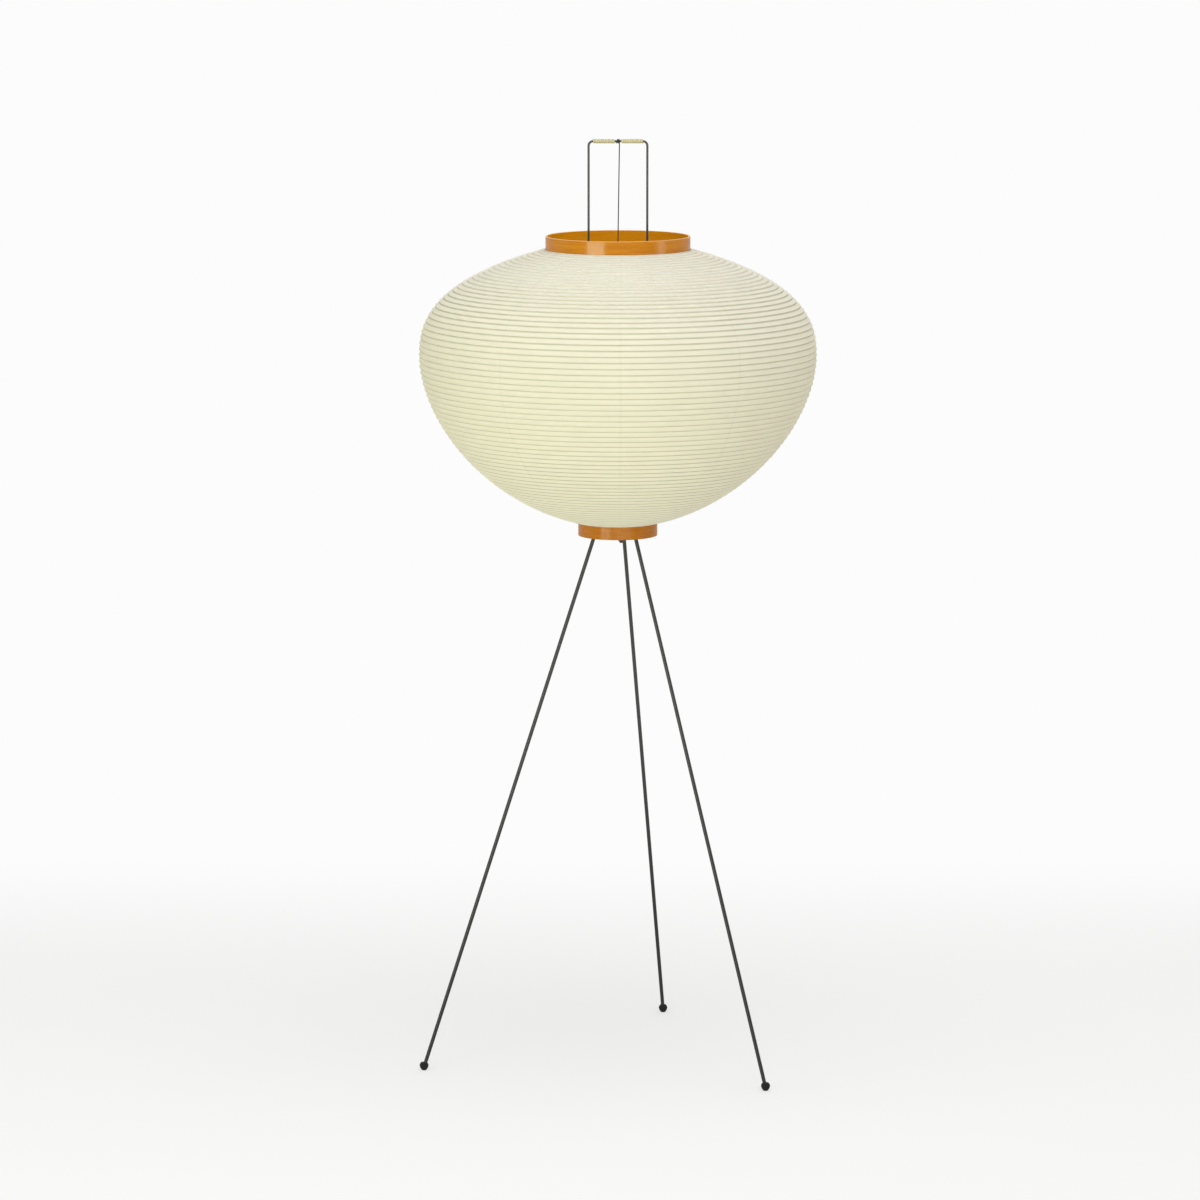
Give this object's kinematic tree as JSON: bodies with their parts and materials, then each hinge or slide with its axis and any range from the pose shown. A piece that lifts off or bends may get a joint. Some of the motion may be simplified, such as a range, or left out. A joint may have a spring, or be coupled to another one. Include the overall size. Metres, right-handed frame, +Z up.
{
  "type": "paper lantern floor lamp",
  "caption": "Floor lamp with a squat ribbed paper lantern between two bentwood rings, a wire carrying handle wrapped with cane, and a tripod of slim black rods on rubber ball feet.",
  "frame": {"origin": "on the floor, under the lantern's axis, between the three feet", "axes": "+Z up, +X to the right and -Y towards the viewer of the picture; the handle's crossbar runs along X"},
  "size_m": [0.5273, 0.5301, 1.2358],
  "materials": {
    "black_steel": "satin warm black paint on steel rod and plate",
    "black_rubber": "soft matt rubber",
    "dark_wire": "blackened thin steel wire",
    "zinc_steel": "zinc-plated steel",
    "cane": "split cane, straw coloured, satin skin",
    "lacquered_wood": "amber bentwood under gloss lacquer",
    "rice_paper": "cream mulberry paper over thin bamboo hoops",
    "black_plastic": "moulded black plastic",
    "white_ceramic": "unglazed white porcelain",
    "black_ceramic": "black glass insulator",
    "brass": "plain brass",
    "nickel": "nickel-plated brass cap",
    "opal_glass": "opal white glass"
  },
  "bodies": {
    "stand": {"hub": "black_steel", "leg_left": "black_steel", "leg_back": "black_steel", "leg_right": "black_steel", "foot_left": "black_rubber", "foot_back": "black_rubber", "foot_right": "black_rubber", "frame_wire": "black_steel", "frame_screws": "zinc_steel", "cane_wrap_left": "cane", "cane_wrap_right": "cane", "lower_ring": "lacquered_wood", "ring_bridge": "zinc_steel", "ring_screws": "zinc_steel", "shade_panel_1": "rice_paper", "shade_panel_2": "rice_paper", "shade_panel_3": "rice_paper", "shade_panel_4": "rice_paper", "shade_panel_5": "rice_paper", "shade_panel_6": "rice_paper", "shade_panel_7": "rice_paper", "shade_panel_8": "rice_paper", "shade_panel_9": "rice_paper", "shade_panel_10": "rice_paper", "nipple": "zinc_steel", "nipple_nut": "zinc_steel", "cord_gland": "black_plastic", "holder_cap": "black_plastic", "holder_shell": "black_plastic", "holder_insert": "white_ceramic", "screw_shell": "brass", "centre_contact": "brass"},
    "shade_top": {"top_ring": "lacquered_wood", "cross_wire": "dark_wire"},
    "hook": {"hook_wire": "dark_wire"},
    "bulb": {"bulb_contact": "brass", "bulb_insulator": "black_ceramic", "bulb_cap": "nickel", "bulb_glass": "opal_glass"}
  },
  "joints": [
    {"name": "shade_fold", "type": "slide", "parent": "stand", "child": "shade_top", "axis": [0, 0, -1], "range_m": [0, 0.22], "deforming": ["shade_panel_1", "shade_panel_2", "shade_panel_3", "shade_panel_4", "shade_panel_5", "shade_panel_6", "shade_panel_7", "shade_panel_8", "shade_panel_9", "shade_panel_10"]},
    {"name": "hook_swing", "type": "hinge", "parent": "stand", "child": "hook", "pos_m": [0, 0, 1.23275], "axis": [1, 0, 0], "range_deg": [0, 75]},
    {"name": "bulb_turn", "type": "hinge", "parent": "stand", "child": "bulb", "pos_m": [0, 0, 0.7532], "axis": [0, 0, 1], "range_deg": [0, 1080]}
  ]
}
